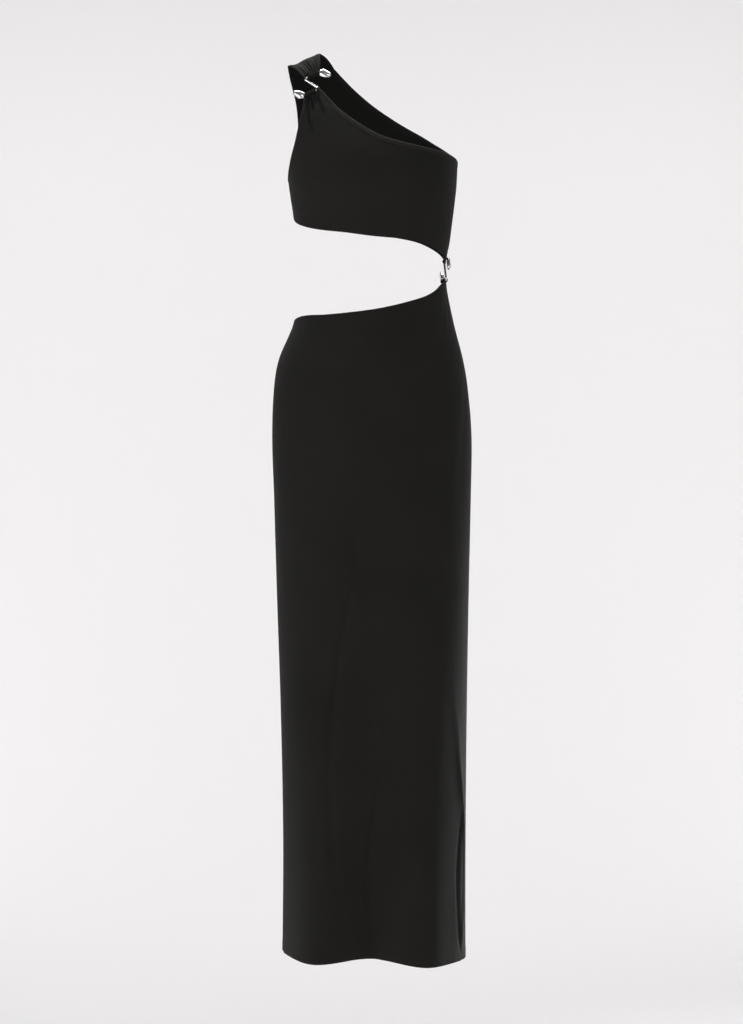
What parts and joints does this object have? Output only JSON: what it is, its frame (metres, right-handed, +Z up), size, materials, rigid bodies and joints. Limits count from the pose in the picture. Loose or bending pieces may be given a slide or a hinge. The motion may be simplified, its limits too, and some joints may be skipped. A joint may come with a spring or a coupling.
{
  "type": "one-shoulder cut-out maxi dress, filled out as worn with no wearer",
  "caption": "Long straight one-shoulder dress in black jersey, open at the waist, its bodice joined to the strap and to the skirt by bent silver links.",
  "frame": {"origin": "the underside of the strap at the crest of the shoulder, where the wearer's shoulder carries the dress", "axes": "+Z up, the front of the dress faces -Y, +X towards the side seam where bodice and skirt meet"},
  "size_m": [0.3275, 0.2525, 1.4778],
  "materials": {
    "jersey": "smooth matt black jersey",
    "silver": "polished silver-coloured metal"
  },
  "bodies": {
    "root": {"skirt_front": "jersey", "skirt_back": "jersey", "bodice_front": "jersey", "bodice_back": "jersey", "neck_band_front": "jersey", "neck_band_back": "jersey", "armhole_band_front": "jersey", "armhole_band_back": "jersey", "shoulder_strap": "jersey", "strap_casing": "jersey", "bodice_casing": "jersey", "waist_casing_upper": "jersey", "waist_casing_lower": "jersey", "link_shoulder": "silver", "link_waist": "silver"}
  },
  "joints": []
}
